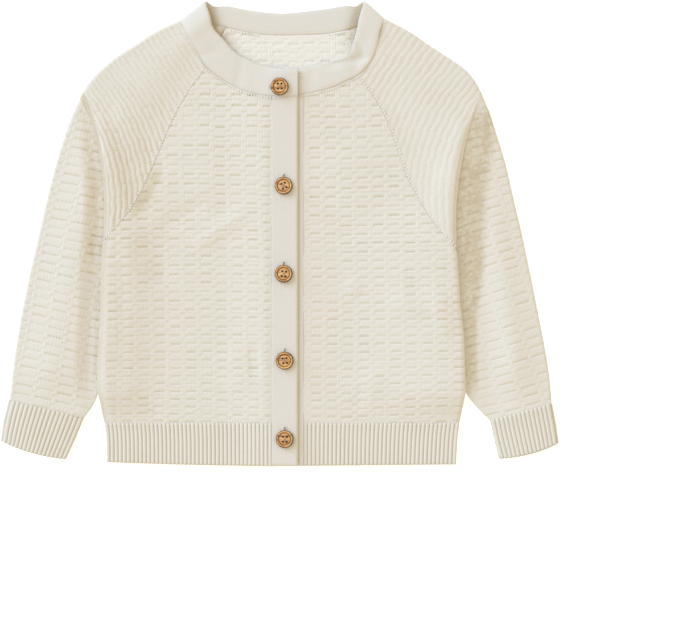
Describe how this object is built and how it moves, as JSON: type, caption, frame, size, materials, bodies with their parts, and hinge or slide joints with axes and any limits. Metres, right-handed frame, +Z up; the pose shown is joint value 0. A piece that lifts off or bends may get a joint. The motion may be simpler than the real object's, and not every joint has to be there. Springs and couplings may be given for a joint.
{
  "type": "baby cardigan",
  "caption": "Baby's long-sleeved raglan cardigan in cream block knit with ribbed hem and cuffs, a smooth round neckband and wooden buttons, fastened and laid flat.",
  "frame": {"origin": "middle of the garment's outline, on the surface that it lies on", "axes": "+X towards the wearer's left sleeve, +Y towards the neck, +Z up out of the front"},
  "size_m": [0.3912, 0.3262, 0.0105],
  "materials": {
    "block_knit": "matt cotton knit in raised blocks, warm cream",
    "rib_knit": "matt cotton rib, one knit and one purl, warm cream",
    "band_knit": "matt fine plain knit, cream",
    "button_wood": "turned light brown wood, satin"
  },
  "bodies": {
    "root": {"back": "block_knit", "front_right": "block_knit", "front_left": "block_knit", "sleeve_right": "block_knit", "sleeve_left": "block_knit", "cuff_right": "rib_knit", "cuff_left": "rib_knit", "hem_rib_front_right": "rib_knit", "hem_rib_front_left": "rib_knit", "hem_rib_back": "rib_knit", "placket_left": "band_knit", "placket_right": "band_knit", "neckband": "band_knit", "button_1": "button_wood", "button_2": "button_wood", "button_3": "button_wood", "button_4": "button_wood", "button_5": "button_wood"}
  },
  "joints": []
}
